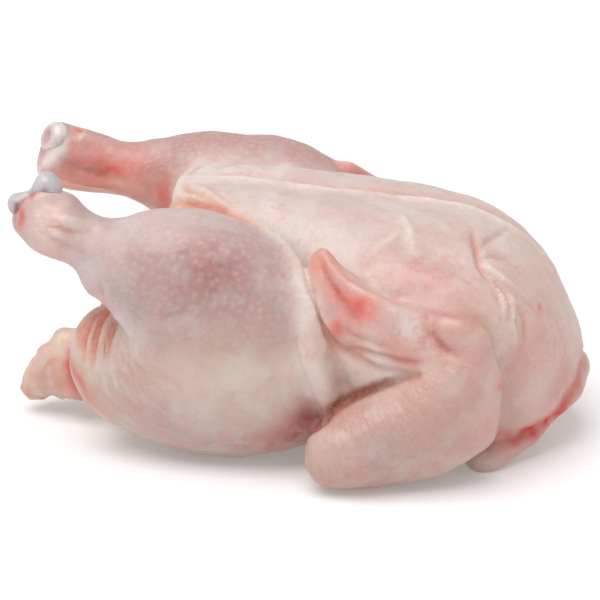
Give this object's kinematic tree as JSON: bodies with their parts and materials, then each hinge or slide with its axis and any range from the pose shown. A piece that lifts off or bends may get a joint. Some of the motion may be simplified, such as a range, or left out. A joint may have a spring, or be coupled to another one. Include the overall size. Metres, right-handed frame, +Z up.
{
  "type": "whole raw chicken",
  "caption": "Whole raw plucked chicken lying on its back, legs free and wings folded, with an open body cavity and bare leg bone ends.",
  "frame": {"origin": "on the flat underside of the back, which is the surface that the bird lies on, midway between the hock ends and the neck end", "axes": "+X towards the neck end, +Y towards the bird's right side, +Z up through the breast"},
  "size_m": [0.2504, 0.1842, 0.1223],
  "materials": {
    "skin": "moist raw poultry skin, pale cream to mauve pink, with feather follicles",
    "bone": "smooth wet bluish white gristle"
  },
  "bodies": {
    "root": {"chicken": "skin", "left_leg_bone": "bone", "right_leg_bone": "bone"}
  },
  "joints": []
}
